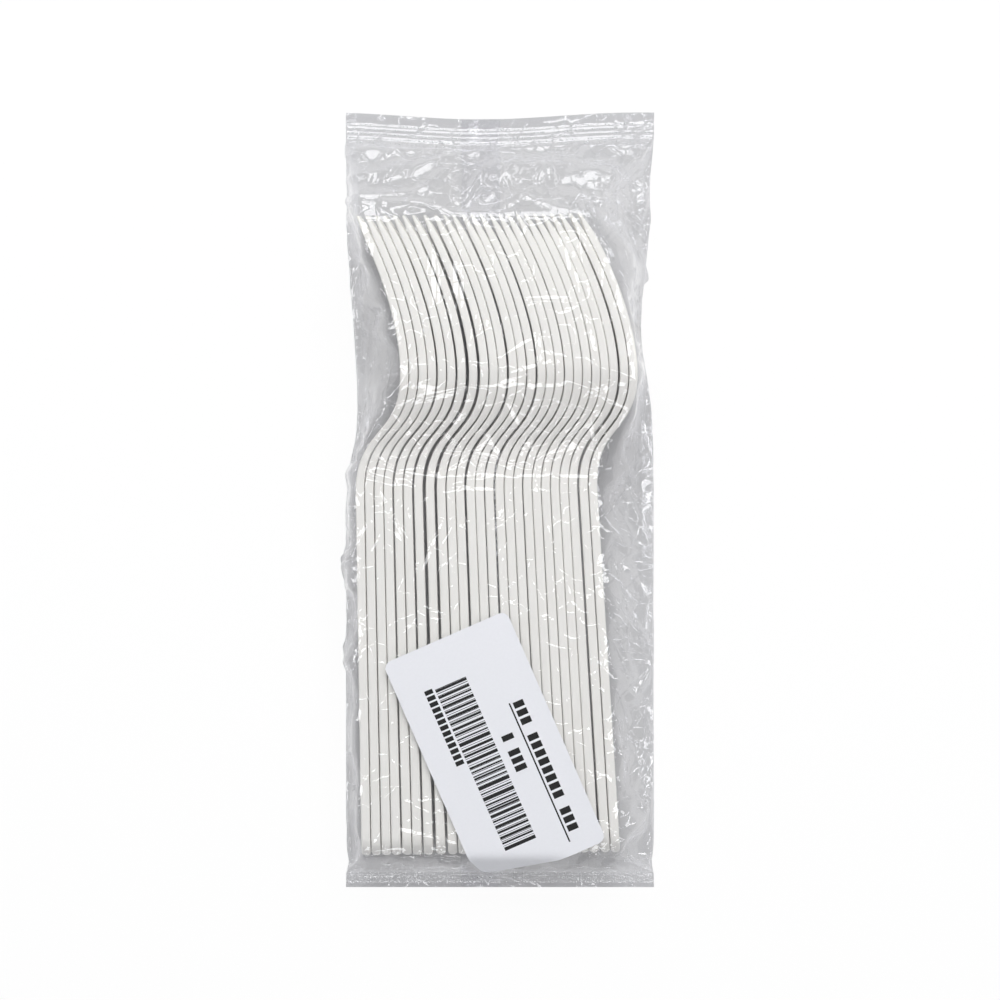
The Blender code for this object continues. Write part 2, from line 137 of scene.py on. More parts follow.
# Crimps, and the dip where the top one is drawn down in its middle.
CRIMP_DEPTH = {"top": 7.2 * MM, "bottom": 4.2 * MM}
CRIMP_MARGIN = {"top": 2.8 * MM, "bottom": 1.4 * MM}
END_MARGIN = {"top": 0.6 * MM, "bottom": 0.3 * MM}
CRIMP_DIP = 1.8 * MM
DIP_REACH = 20 * MM
RIB_PITCH = 1.15 * MM
RIB_HEIGHT = 0.11 * MM
RIB_EASE = 0.3 * MM

# Crimps' knurls, which the sealing jaws press: (rows, marks in a row, share that shows).
KNURLS = {"top": (5, 74, 0.72), "bottom": (3, 74, 0.6)}
KNURL_SIZE = (0.27 * MM, 0.18 * MM, 0.12 * MM)
KNURL_SCALE = (0.6, 1.35)
KNURL_JITTER = (0.25 * MM, 0.07 * MM, 0)
KNURL_SEED = 3

# Film's looks: how much light it mirrors square on, on its own and where plies are welded,
# and how much it scatters.
FILM_SHINE = 0.09
WELD_SHINE = 0.04
FILM_HAZE = 0.02
KNURL_SHINE = 0.22
# The knurls' haze is partly the pressed film's own whitening and partly a painted highlight, which
# makes them show as bright dots in the crimps.
KNURL_HAZE_AND_PAINTED_HIGHLIGHT = 0.62

# Crumpling: (spacing of the facets' corners, how far they stand out), each at a finer scale.
CRUMPLES = ((14 * MM, 2.1 * MM), (7 * MM, 1.05 * MM), (3.4 * MM, 0.34 * MM))
CRUMPLE_REACH = (50 * MM, 110 * MM)
CRUMPLE_JITTER = 0.45
CRUMPLE_SEED = 11

# Small wrinkles, scattered: how many and where, and the ranges of length, height and half
# width, in millimetres. Those near the top crimp point at a place past its middle, and those
# near the sides run along them, each with this spread in radians.
WRINKLES = 170
WRINKLE_FIELD = ((-39, 39), (-94, 92))
WRINKLE_LENGTH = (7, 26)
WRINKLE_HEIGHT = (0.3, 0.95)
WRINKLE_WIDTH = (0.7, 1.5)
WRINKLE_SEED = 8
GATHER_FROM, GATHER_POINT, GATHER_SPREAD = 70, (1, 108), 0.45
SIDE_FROM, SIDE_SPREAD = 24, 0.5

# Folds that the film holds: both ends, height and half width, in millimetres from the bag's
# middle. A fold is highest halfway, and keeps one height outside the shares in FOLD_ENDS.
FOLDS = (
    ((0, 92), (-39, 88), 1.1, 2.2),
    ((0, 92), (-23, 84.4), 1.2, 2.4),
    ((-23, 84.4), (-39, 81.9), 1.0, 2.0),
    ((-1.2, 90), (-9.9, 76), 0.9, 1.6),
    ((-9, 88), (-25, 74), 1.0, 2.0),
    ((-0.6, 86.8), (19.5, 85.6), 1.5, 5.0),
    ((19.5, 85.6), (33, 82), 1.3, 4.0),
    ((18, 78.3), (36, 57), 1.5, 4.2),
    ((25, 78.3), (36.6, 60), 0.8, 2.2),
    ((-35.5, 76), (-10, 73.5), 0.9, 2.0),
    ((2, 90), (9, 84), 0.8, 1.6),
    ((36.4, 98), (36.2, 60), 0.8, 1.4),
    ((40, 13.5), (25, 3.7), 1.2, 3.5),
    ((25, 3.7), (3, 3.5), 0.5, 1.8),
    ((3, 3.5), (-18, 4), 0.5, 1.8),
    ((-18, 4), (-38, 8), 0.6, 2.0),
    ((-37, 7), (-27, -8), 0.8, 3.0),
    ((-22, 5), (-8, -7), 0.45, 2.4),
    ((0, 4), (4, -14), 0.4, 2.0),
    ((29, -27), (38.5, -38), 1.0, 2.2),
    ((31, -36), (34, -46), 1.0, 1.6),
    ((38, -45), (30, -57), 0.9, 2.2),
    ((22, -94), (36, -85), 1.0, 1.6),
    ((29, -94), (37, -78), 0.9, 2.0),
)
FOLD_ENDS = (0.08, 0.92)

# Where the film is taut: the share of each kind of relief that is left over the forks, how
# the tautness starts in from the walls, and how the relief fades at crimps, label and edges.
OVER_FORKS = {"crumples": 0.09, "folds": 0.6, "wrinkles": 0.3}
TAUT_FROM, TAUT_COLUMNS, TAUT_PAST_TIPS = 0.8, 8, 1 * MM
LIFTED_FROM = 0.3
RELIEF_FADE = 3 * MM
EDGE_COLUMNS, EDGE_RELIEF = 5, 0.25

# Label.
LABEL_WIDTH = 34.5 * MM
LABEL_LENGTH = 64.5 * MM
LABEL_TURN = math.radians(23.6)
LABEL_CORNER = 2.1 * MM
LABEL_THICKNESS = 0.1 * MM
LABEL_STEP = 1.5 * MM
LABEL_PATH_STEPS = 60
LABEL_PATH_INSET = 0.05 * MM
LABEL_CORNER_STEPS = 8
LABEL_SHARP = math.radians(50)

# Studio: half its floor's side, its walls' brightness, and its lamps as (name, azimuth from
# +Y, angle off the zenith, distance, size, level). The narrow ones give the film its streaks.
FLOOR_REACH = 2.0
FLOOR_DROP = 0.05 * MM
WORLD_TOP = 0.08
WORLD_EDGE = 0.44
SOFTBOXES = (
    ("key", 4, 46, 0.70, (0.55, 0.36), 0.35),
    ("corner_right", 48, 40, 1.10, (0.25, 0.20), 0.04),
    ("strip_back", 0, 20, 1.10, (0.50, 0.16), 0.09),
    ("backlight", 0, 66, 1.10, (1.30, 0.10), 0.03),
    ("strip_front", 180, 24, 1.10, (0.40, 0.14), 0.06),
    ("front_high", 180, 46, 1.10, (0.70, 0.05), 0.035),
    ("front_low", 180, 66, 1.10, (0.70, 0.05), 0.02),
    ("strip_left", -78, 26, 1.10, (0.12, 0.50), 0.065),
    ("left_high", -88, 42, 1.10, (0.05, 0.70), 0.032),
    ("left_middle", -92, 58, 1.10, (0.05, 0.70), 0.024),
    ("left_low", -90, 74, 1.10, (0.05, 0.70), 0.015),
    ("strip_right", 78, 26, 1.10, (0.12, 0.50), 0.065),
    ("right_high", 88, 42, 1.10, (0.05, 0.70), 0.032),
    ("right_middle", 92, 58, 1.10, (0.05, 0.70), 0.024),
    ("right_low", 90, 74, 1.10, (0.05, 0.70), 0.015),
)


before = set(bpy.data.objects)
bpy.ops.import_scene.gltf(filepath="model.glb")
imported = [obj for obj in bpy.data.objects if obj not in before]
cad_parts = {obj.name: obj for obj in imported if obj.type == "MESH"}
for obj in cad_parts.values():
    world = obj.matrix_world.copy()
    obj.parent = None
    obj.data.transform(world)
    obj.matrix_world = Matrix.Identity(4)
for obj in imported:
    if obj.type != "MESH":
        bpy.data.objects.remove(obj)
CAD_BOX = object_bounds()
FORKS = sorted(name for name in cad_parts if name.startswith("fork_"))
BOTTOM_Y, TOP_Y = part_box("film_bag")[0].y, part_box("film_bag")[1].y


def mix(a, b, share):
    return a + (b - a) * share


def clamp(value, low=0.0, high=1.0):
    return max(low, min(high, value))


def smooth(share):
    share = np.clip(share, 0, 1)
    return share * share * (3 - 2 * share)


def linear(code):
    """A colour written as sRGB hex, in linear light."""
    channels = [int(code[k : k + 2], 16) / 255 for k in (1, 3, 5)]
    return (*[c / 12.92 if c <= 0.04045 else ((c + 0.055) / 1.055) ** 2.4 for c in channels], 1.0)


def new_object(name, mesh):
    made = bpy.data.objects.new(name, mesh)
    bpy.context.scene.collection.objects.link(made)
    return made


def vertices_of(mesh):
    points = np.empty(len(mesh.vertices) * 3)
    mesh.vertices.foreach_get("co", points)
    return points.reshape(-1, 3)


# Materials


def new_material(name):
    made = bpy.data.materials.new(name)
    made.use_nodes = True
    made.node_tree.nodes.clear()
    return made


def add(tree, kind, settings=None, **inputs):
    """Adds a node. Inputs are named with underscores for spaces, or by place as in_0, in_1.

    A node given for an input is linked by its first output in use.
    """
    node = tree.nodes.new(kind)
    for key, value in (settings or {}).items():
        setattr(node, key, value)
    for key, value in inputs.items():
        by_place = key.startswith("in_")
        socket = node.inputs[int(key[3:]) if by_place else key.replace("_", " ")]
        if isinstance(value, bpy.types.Node):
            value = next(output for output in value.outputs if output.enabled)
        if isinstance(value, bpy.types.NodeSocket):
            tree.links.new(value, socket)
        else:
            socket.default_value = value
    return node


def moulded_cpla():
    """Crystallised PLA, injection moulded: warm off-white, opaque, satin, faintly mottled.

    The mottling is where the melt flowed, some 9 mm wide. The skin's own grain, about 0.2 mm,
    is finer than a pixel, so it is drawn at 0.7 mm.
    """
    made = new_material("moulded_cpla")
    tree = made.node_tree
    place = add(tree, "ShaderNodeTexCoord").outputs["Object"]
    mottle = add(
        tree, "ShaderNodeTexNoise", Vector=place, Scale=1 / (9 * MM), Detail=3.0, Roughness=0.6
    )
    colour = add(
        tree,
        "ShaderNodeMix",
        {"data_type": "RGBA"},
        in_0=mottle,
        in_6=linear("#EEECE7"),
        in_7=linear("#F7F6F2"),
    )
    grain = add(tree, "ShaderNodeTexNoise", Vector=place, Scale=1 / (0.7 * MM), Detail=2.0)
    gloss = add(tree, "ShaderNodeMapRange", Value=mottle, To_Min=0.34, To_Max=0.46)
    bump = add(tree, "ShaderNodeBump", Strength=0.12, Distance=0.05 * MM, Height=grain)
    shader = add(
        tree,
        "ShaderNodeBsdfPrincipled",
        Base_Color=colour,
        Roughness=gloss,
        Normal=bump,
        IOR=1.46,
    )
    add(tree, "ShaderNodeOutputMaterial", Surface=shader)
    return made


def polypropylene_film(name, haze_and_painted_highlight_share, free_shine):
    """Cast polypropylene film, 50 micrometres: clear with a cool cast, glossy, and creased.

    Its bump is 5 mm waves and two sets of creases, in cells of 9 and 4.5 mm, which fade where
    the film is taut. Welded plies have no air between them, so only the outermost one mirrors
    the light.
    """
    made = new_material(name)
    tree = made.node_tree
    place = add(tree, "ShaderNodeTexCoord").outputs["Object"]
    wander = add(tree, "ShaderNodeTexNoise", Vector=place, Scale=1 / (11 * MM), Detail=2.0)
    wander = wander.outputs["Color"]
    drift = add(tree, "ShaderNodeVectorMath", {"operation": "SCALE"}, in_0=wander, Scale=6 * MM)
    warped = add(tree, "ShaderNodeVectorMath", {"operation": "ADD"}, in_0=place, in_1=drift)
    relief = add(tree, "ShaderNodeTexNoise", Vector=place, Scale=1 / (5 * MM), Detail=3.0)
    taut = add(tree, "ShaderNodeAttribute", {"attribute_name": "taut"}).outputs["Fac"]
    slack = add(tree, "ShaderNodeMapRange", Value=taut, To_Min=1.8, To_Max=0.35)
    for size, width, patch in ((9 * MM, 0.05, 0.37), (4.5 * MM, 0.06, 0.61)):
        cells = add(
            tree,
            "ShaderNodeTexVoronoi",
            {"feature": "DISTANCE_TO_EDGE"},
            Vector=warped,
            Scale=1 / size,
            Randomness=1.0,
        )
        crease = add(
            tree,
            "ShaderNodeMapRange",
            Value=cells,
            From_Min=0.0,
            From_Max=width,
            To_Min=1.0,
            To_Max=0.0,
        )
        where = add(tree, "ShaderNodeTexNoise", Vector=warped, Scale=patch / size, Detail=1.0)
        shown = add(tree, "ShaderNodeMapRange", Value=where, From_Min=0.46, From_Max=0.58)
        free = add(tree, "ShaderNodeMath", {"operation": "MULTIPLY"}, in_0=shown, in_1=slack)
        line = add(tree, "ShaderNodeMath", {"operation": "MULTIPLY"}, in_0=crease, in_1=free)
        relief = add(tree, "ShaderNodeMath", {"operation": "ADD"}, in_0=relief, in_1=line)
    bump = add(tree, "ShaderNodeBump", Strength=0.6, Distance=0.22 * MM, Height=relief)
    gloss = add(tree, "ShaderNodeMapRange", Value=wander, To_Min=0.03, To_Max=0.12)
    clear = add(tree, "ShaderNodeBsdfTransparent", Color=linear("#FCFCFD"))
    # For the knurls this haze is large: partly the pressed film's whitening, partly a painted
    # highlight.
    haze = add(tree, "ShaderNodeBsdfPrincipled", Base_Color=linear("#EDEEF2"), Roughness=0.5)
    milky = add(tree, "ShaderNodeMixShader", Fac=haze_and_painted_highlight_share, in_1=clear, in_2=haze)
    mirror = add(
        tree,
        "ShaderNodeBsdfPrincipled",
        Base_Color=linear("#FCFCFD"),
        Metallic=1.0,
        Roughness=gloss,
        Normal=bump,
    )
    welded = add(tree, "ShaderNodeAttribute", {"attribute_name": "welded"}).outputs["Fac"]
    least = add(
        tree, "ShaderNodeMapRange", Value=welded, To_Min=free_shine, To_Max=WELD_SHINE
    )
    slant = add(tree, "ShaderNodeLayerWeight", Blend=0.5, Normal=bump).outputs["Facing"]
    rise = add(tree, "ShaderNodeMath", {"operation": "POWER"}, in_0=slant, in_1=5.0)
    shine = add(tree, "ShaderNodeMapRange", Value=rise, To_Min=least, To_Max=1.0)
    whole = add(tree, "ShaderNodeMixShader", Fac=shine, in_1=milky, in_2=mirror)
    add(tree, "ShaderNodeOutputMaterial", Surface=whole)
    return made


def coated_label_paper():
    """Coated white label paper: cool white, semi-matt, with a thermal print.

    Its fibres are finer than a pixel, so their faint relief is drawn at 0.7 mm.
    """
    made = new_material("coated_label_paper")
    tree = made.node_tree
    flat = add(tree, "ShaderNodeUVMap", {"uv_map": "flat"})
    fibre = add(tree, "ShaderNodeTexNoise", Vector=flat, Scale=1.4, Detail=3.0)
    paper = add(
        tree,
        "ShaderNodeMix",
        {"data_type": "RGBA"},
        in_0=fibre,
        in_6=linear("#E8E9EE"),
        in_7=linear("#EDEEF3"),
    )
    colour = add(
        tree,
        "ShaderNodeMix",
        {"data_type": "RGBA"},
        in_0=label_print(tree, flat),
        in_6=paper,
        in_7=linear("#060607"),
    )
    bump = add(tree, "ShaderNodeBump", Strength=0.1, Distance=0.03 * MM, Height=fibre)
    shader = add(
        tree, "ShaderNodeBsdfPrincipled", Base_Color=colour, Roughness=0.42, Normal=bump
    )
    add(tree, "ShaderNodeOutputMaterial", Surface=shader)
    return made


def label_print(tree, flat):
    """The print: a striped band, rows of short marks and a rule.

    Its measures are in millimetres from the label's lower left corner, across and along.
    """
    axes = add(tree, "ShaderNodeSeparateXYZ", Vector=flat).outputs
    across, along = axes["X"], axes["Y"]

    def both(a, b):
        """1 where both of them are 1."""
        return add(tree, "ShaderNodeMath", {"operation": "MULTIPLY"}, in_0=a, in_1=b)

    def inside(value, low, high):
        above = add(tree, "ShaderNodeMath", {"operation": "GREATER_THAN"}, in_0=value, in_1=low)
        below = add(tree, "ShaderNodeMath", {"operation": "LESS_THAN"}, in_0=value, in_1=high)
        return both(above, below)

    def window(low, high):
        return both(inside(across, low[0], high[0]), inside(along, low[1], high[1]))

    def modules_along(module, shift):
        count = add(tree, "ShaderNodeMath", {"operation": "DIVIDE"}, in_0=along, in_1=module)
        return add(tree, "ShaderNodeMath", {"operation": "ADD"}, in_0=count, in_1=shift)

    def chances(module, shift):
        """A random share for each module."""
        spot = modules_along(module, shift)
        cell = add(tree, "ShaderNodeMath", {"operation": "FLOOR"}, in_0=spot)
        return add(tree, "ShaderNodeTexWhiteNoise", {"noise_dimensions": "1D"}, W=cell)

    def within(module, shift):
        """How far through its module a place is."""
        spot = modules_along(module, shift)
        return add(tree, "ShaderNodeMath", {"operation": "FRACT"}, in_0=spot)

    def marks(low, high, module, shift, kept=0.86, edges=(0.14, 0.86)):
        """Blocks one module apart, with some left out."""
        chance = chances(module, shift)
        there = add(tree, "ShaderNodeMath", {"operation": "LESS_THAN"}, in_0=chance, in_1=kept)
        return both(window(low, high), both(there, inside(within(module, shift), *edges)))

    def bars(low, high, module, shift, least, spread, latest=0.3):
        """Bars one module apart, with random starts, and ends from least to least + spread."""
        early, late = chances(module, shift), chances(module, shift + 0.5)
        start = add(tree, "ShaderNodeMath", {"operation": "MULTIPLY"}, in_0=early, in_1=latest)
        length = add(tree, "ShaderNodeMath", {"operation": "MULTIPLY"}, in_0=late, in_1=spread)
        end = add(tree, "ShaderNodeMath", {"operation": "ADD"}, in_0=length, in_1=least)
        return both(window(low, high), inside(within(module, shift), start, end))

    band = ((9.6, 7.6), (18.2, 53.4))
    layers = [
        bars(*band, 1.53, 0.0, 0.36, 0.4),
        bars(*band, 0.61, 0.4, 0.22, 0.4),
        marks((6.8, 32.6), (9.0, 54.0), 1.65, 0.3),
        marks((20.3, 25.0), (23.4, 35.2), 2.1, 0.1),
        marks((26.5, 3.4), (29.3, 42.3), 2.3, 0.6),
        window((25.5, 3.4), (25.9, 42.3)),
    ]
    total = layers[0]
    for layer in layers[1:]:
        total = add(tree, "ShaderNodeMath", {"operation": "MAXIMUM"}, in_0=total, in_1=layer)
    return total


# Fork


def side_profile():
    """The fork's middle line seen from the side, as two arrays, y and x."""
    neck = interpolate_bezier(
        Vector((-NECK_LENGTH, -BOWL_DEPTH)),
        Vector((-NECK_LENGTH + NECK_EASE, -BOWL_DEPTH)),
        Vector((-NECK_EASE, 0)),
        Vector((0, 0)),
        PROFILE_STEPS,
    )
    tip = Vector((HEAD_LENGTH, -TIP_RETURN))
    bowl = interpolate_bezier(
        Vector((0, 0)),
        Vector((BOWL_EASE, 0)),
        tip - BOWL_EASE * Vector((math.cos(TINE_SLOPE), -math.sin(TINE_SLOPE))),
        tip,
        PROFILE_STEPS,
    )
    points = np.array([(HANDLE_END_Y, -BOWL_DEPTH), *map(tuple, neck), *map(tuple, bowl[1:])])
    return points[:, 0], points[:, 1]


def half_width(y):
    """Half the fork's width at a distance from its crest."""
    from_end = y - HANDLE_END_Y
    if from_end < HANDLE_END_ROUND:
        inward = 1 - clamp(from_end / HANDLE_END_ROUND)
        return HANDLE_END_WIDTH / 2 * math.sqrt(max(0.0, 1 - inward**2))
    if y < -FLARE_START:
        share = (from_end - HANDLE_END_ROUND) / (-FLARE_START - HANDLE_END_Y - HANDLE_END_ROUND)
        return mix(HANDLE_END_WIDTH, NECK_WIDTH, share) / 2
    if y < FLARE_END:
        reach = FLARE_START + FLARE_END
        share = (y + FLARE_START) / reach
        edge = reach * math.tan(SHOULDER_SLOPE) * share**2 * (1 - share)
        return mix(NECK_WIDTH, HEAD_WIDTH, smooth(share)) / 2 - edge
    return mix(HEAD_WIDTH, TIP_SPREAD, ((y - FLARE_END) / (HEAD_LENGTH - FLARE_END)) ** 2) / 2


def tine_edges(y):
    """The Z of both edges of each tine."""
    width_at_root = (2 * half_width(TINE_ROOT) - (TINE_COUNT - 1) * SLOT_WIDTH) / TINE_COUNT
    share = clamp((y - TINE_ROOT) / (HEAD_LENGTH - TINE_ROOT))
    width = mix(width_at_root, TINE_TIP_WIDTH, share**TINE_TAPER)
    spacing = (2 * half_width(y) - width) / (TINE_COUNT - 1)
    centres = [(k - (TINE_COUNT - 1) / 2) * spacing for k in range(TINE_COUNT)]
    return [(centre - width / 2, centre + width / 2) for centre in centres]


def thinning(y):
    """The fork's thickness at a distance from its crest, as a share of its head's."""
    tip = clamp((y - HEAD_LENGTH + TIP_TAPER) / TIP_TAPER)
    end = clamp((y - HANDLE_END_Y) / (THICKNESS / 2))
    swell = 1 + HANDLE_SWELL * max(0.0, -y) / THICKNESS
    swell -= NECK_DIP / THICKNESS * float(smooth(1 - abs(y - NECK_DIP_AT) / NECK_DIP_REACH))
    taper = mix(1.0, TIP_THICKNESS / THICKNESS, tip**TIP_CURVE)
    return taper * math.sqrt(1 - END_THINNING * (1 - end) ** 2) * swell


def fork_outline():
    """The fork's outline seen from the front, as (y, z), up its right side and over the tines."""
    side = [HANDLE_END_Y + HANDLE_END_ROUND * (1 - math.cos(angle)) for angle in END_ANGLES]
    side += list(np.arange(side[-1] + OUTLINE_STEP, TINE_ROOT, OUTLINE_STEP))
    right = [(y, half_width(y)) for y in side]
    left = [(y, -z) for y, z in right]
    ys = np.linspace(TINE_ROOT, HEAD_LENGTH, TINE_ROWS)
    over = []
    for tine in reversed(range(TINE_COUNT)):
        over += [(y, tine_edges(y)[tine][1]) for y in ys]
        over += [(y, tine_edges(y)[tine][0]) for y in reversed(ys)]
        if tine:
            high, low = tine_edges(TINE_ROOT)[tine][0], tine_edges(TINE_ROOT)[tine - 1][1]
            middle, reach = (high + low) / 2, (high - low) / 2
            for angle in ROOT_ANGLES:
                over.append((TINE_ROOT - reach * math.sin(angle), middle + reach * math.cos(angle)))
    return [*right, *over, *reversed(left)]


def fork_mesh():
    """One fork about its crest: a plate with rounded edges, cut into rows and bent."""
    bm = bmesh.new()
    sheet = bm.faces.new([bm.verts.new((-THICKNESS / 2, y, z)) for y, z in fork_outline()])
    made = bmesh.ops.extrude_face_region(bm, geom=[sheet])["geom"]
    moved = [part for part in made if isinstance(part, bmesh.types.BMVert)]
    bmesh.ops.translate(bm, vec=(THICKNESS, 0, 0), verts=moved)
    bmesh.ops.recalc_face_normals(bm, faces=bm.faces)
    flats = [face for face in bm.faces if abs(face.normal.x) > 0.9]
    bmesh.ops.bevel(
        bm,
        geom=list({edge for face in flats for edge in face.edges}),
        offset=EDGE_ROUND,
        segments=3,
        profile=0.5,
        affect="EDGES",
        clamp_overlap=True,
    )
    end_rows = [HANDLE_END_Y + share * THICKNESS / 2 for share in END_ROWS]
    for y in [*end_rows, *np.arange(HANDLE_END_Y + ROW_STEP, HEAD_LENGTH, ROW_STEP)]:
        whole = [*bm.verts, *bm.edges, *bm.faces]
        bmesh.ops.bisect_plane(bm, geom=whole, plane_co=(0, y, 0), plane_no=(0, 1, 0))
    profile = side_profile()
    for vertex in bm.verts:
        y = vertex.co.y
        vertex.co.x = vertex.co.x * thinning(y) + float(np.interp(y, *profile))
    bmesh.ops.triangulate(bm, faces=[face for face in bm.faces if len(face.verts) > 4])
    mesh = bpy.data.meshes.new("fork")
    bm.to_mesh(mesh)
    bm.free()
    return mesh


def rest_tilt():
    """The stack leans on the heads' sides and on the handles' ends."""
    reach = FLARE_END - HANDLE_END_Y - HANDLE_END_ROUND
    return math.atan((HEAD_WIDTH - HANDLE_END_WIDTH) / 2 / reach)


def make_forks(plastic):
    """A finely made fork for each solid one, with the uneven gaps of a loose stack."""
    pattern = fork_mesh()
    even = sum(GAPS) / len(GAPS)
    for index, name in enumerate(FORKS):
        shift = (sum(GAPS[:index]) - index * even) * MM
        lean = mix(LEAN_FIRST, LEAN_LAST, index / max(1, len(FORKS) - 1))
        mesh = pattern.copy()
        mesh.transform(Matrix.Rotation(rest_tilt(), 4, "X") @ Matrix.Rotation(lean, 4, "Z"))
        points = vertices_of(mesh)
        low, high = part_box(name)
        middle = (np.array(low) + np.array(high)) / 2 - (points.min(0) + points.max(0)) / 2
        mesh.transform(Matrix.Translation(middle + np.array((shift, 0, 0))))
        mesh.materials.append(plastic)
        mesh.shade_smooth()
        mesh.set_sharp_from_angle(angle=FORK_SHARP)
        fork = new_object(f"{name}_moulded", mesh)
        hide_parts(name)
        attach(fork, "root")


# Cuts through the CAD solids


def edges_of(names):
    """Both ends of every edge of these CAD nodes."""
    starts, ends = [], []
    for name in names:
        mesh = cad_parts[name].data
        points = vertices_of(mesh)
        pairs = np.empty(len(mesh.edges) * 2, int)
        mesh.edges.foreach_get("vertices", pairs)
        pairs = pairs.reshape(-1, 2)
        starts.append(points[pairs[:, 0]])
        ends.append(points[pairs[:, 1]])
    return np.concatenate(starts), np.concatenate(ends)


def cut(edges, y):
    """The points where these edges pass through the plane at y, as (x, z)."""
    a, b = edges
    through = (a[:, 1] - y) * (b[:, 1] - y) <= 0
    through &= abs(a[:, 1] - b[:, 1]) > 1e-9
    a, b = a[through], b[through]
    share = ((y - a[:, 1]) / (b[:, 1] - a[:, 1]))[:, None]
    return (a + (b - a) * share)[:, [0, 2]]


# Film


def film_corners(film, y):
    """The solid film's section at y: its left fold, the front's corners, its right fold, and
    the back's height."""
    points = cut(film, y)
    left, right = points[points[:, 0].argmin()], points[points[:, 0].argmax()]
    height = points[:, 1].max()
    front = points[points[:, 1] > height - FRONT_BAND]
    return left, (front[:, 0].min(), height), (front[:, 0].max(), height), right, points[:, 1].min()


def blur(values, sigma, axis):
    """Smooths a grid along one axis, with its first and last lines kept."""
    reach = int(3 * sigma) + 1
    weights = np.exp(-0.5 * (np.arange(-reach, reach + 1) / sigma) ** 2)
    weights /= weights.sum()
    before = np.flip(np.take(values, range(1, reach + 1), axis), axis)
    after = np.flip(np.take(values, range(-reach - 1, -1), axis), axis)
    padded = np.concatenate(
        [
            2 * np.take(values, [0], axis) - before,
            values,
            2 * np.take(values, [-1], axis) - after,
        ],
        axis,
    )
    return np.apply_along_axis(lambda line: np.convolve(line, weights, "valid"), axis, padded)


def crumple_field(spacing, height, seed):
    """Flat facets between sharp creases: random points at random heights, joined in triangles."""
    scatter = random.Random(seed)
    reach_x, reach_y = CRUMPLE_REACH
    points = []
    for i in range(int(2 * reach_x / spacing) + 1):
        for j in range(int(2 * reach_y / spacing) + 1):
            x = -reach_x + (i + scatter.uniform(-CRUMPLE_JITTER, CRUMPLE_JITTER)) * spacing
            y = -reach_y + (j + scatter.uniform(-CRUMPLE_JITTER, CRUMPLE_JITTER)) * spacing
            points.append(Vector((x, y)))
    joined = delaunay_2d_cdt(points, [], [], 0, 1e-7)
    corners = [Vector((p.x, p.y, height * scatter.uniform(-1, 1))) for p in joined[0]]
    return BVHTree.FromPolygons(corners, joined[2])


def drop(field, x, y):
    """The field's height at a place."""
    hit = field.ray_cast(Vector((x, y, 1)), Vector((0, 0, -1)))[0]
    return hit.z if hit else 0.0


def wrinkles():
    """Small folds, which fan out from the top crimp's middle and run along the sides."""
    scatter = random.Random(WRINKLE_SEED)
    made = []
    for _ in range(WRINKLES):
        x, y = (scatter.uniform(*reach) for reach in WRINKLE_FIELD)
        if y > GATHER_FROM:
            way = math.atan2(y - GATHER_POINT[1], x - GATHER_POINT[0])
            way += scatter.gauss(0, GATHER_SPREAD)
        elif abs(x) > SIDE_FROM:
            way = math.pi / 2 + scatter.gauss(0, SIDE_SPREAD)
        else:
            way = scatter.uniform(0, math.pi)
        reach = scatter.uniform(*WRINKLE_LENGTH) / 2
        start = (x - reach * math.cos(way), y - reach * math.sin(way))
        end = (x + reach * math.cos(way), y + reach * math.sin(way))
        made.append((start, end, scatter.uniform(*WRINKLE_HEIGHT), scatter.uniform(*WRINKLE_WIDTH)))
    return made


def fold_heights(x, y, folds):
    """How far the film stands out at each point for these folds."""
    total = np.zeros_like(x)
    for start, end, height, width in folds:
        start, end = np.array(start) * MM, np.array(end) * MM
        way = end - start
        share = np.clip(((x - start[0]) * way[0] + (y - start[1]) * way[1]) / (way @ way), 0, 1)
        away = np.hypot(x - start[0] - share * way[0], y - start[1] - share * way[1])
        ridge = np.clip(1 - away / (width * MM), 0, 1)
        rise = 0.5 + 0.5 * np.sin(math.pi * np.clip(share, *FOLD_ENDS))
        total = np.maximum(total, height * MM * ridge * rise)
    return total


def normals_of(grid):
    """Unit normals of a grid of points."""
    normal = np.cross(np.gradient(grid, axis=1), np.gradient(grid, axis=0))
    return normal / np.maximum(np.linalg.norm(normal, axis=2, keepdims=True), 1e-12)


def crimp_dip(x):
    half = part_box("film_bag")[1].x
    return CRIMP_DIP * smooth(1 - abs(x + FIN_WIDTH / 2) / half)


def label_mask(x, y):
    """1 under the label, falling to 0 around it."""
    low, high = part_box("label")
    middle_x, middle_y = (low.x + high.x) / 2, (low.y + high.y) / 2
    c, s = math.cos(LABEL_TURN), math.sin(LABEL_TURN)
    u = (x - middle_x) * c + (y - middle_y) * s
    v = -(x - middle_x) * s + (y - middle_y) * c
    away = np.maximum(abs(u) - LABEL_WIDTH / 2, abs(v) - LABEL_LENGTH / 2)
    return smooth(1 - away / RELIEF_FADE)


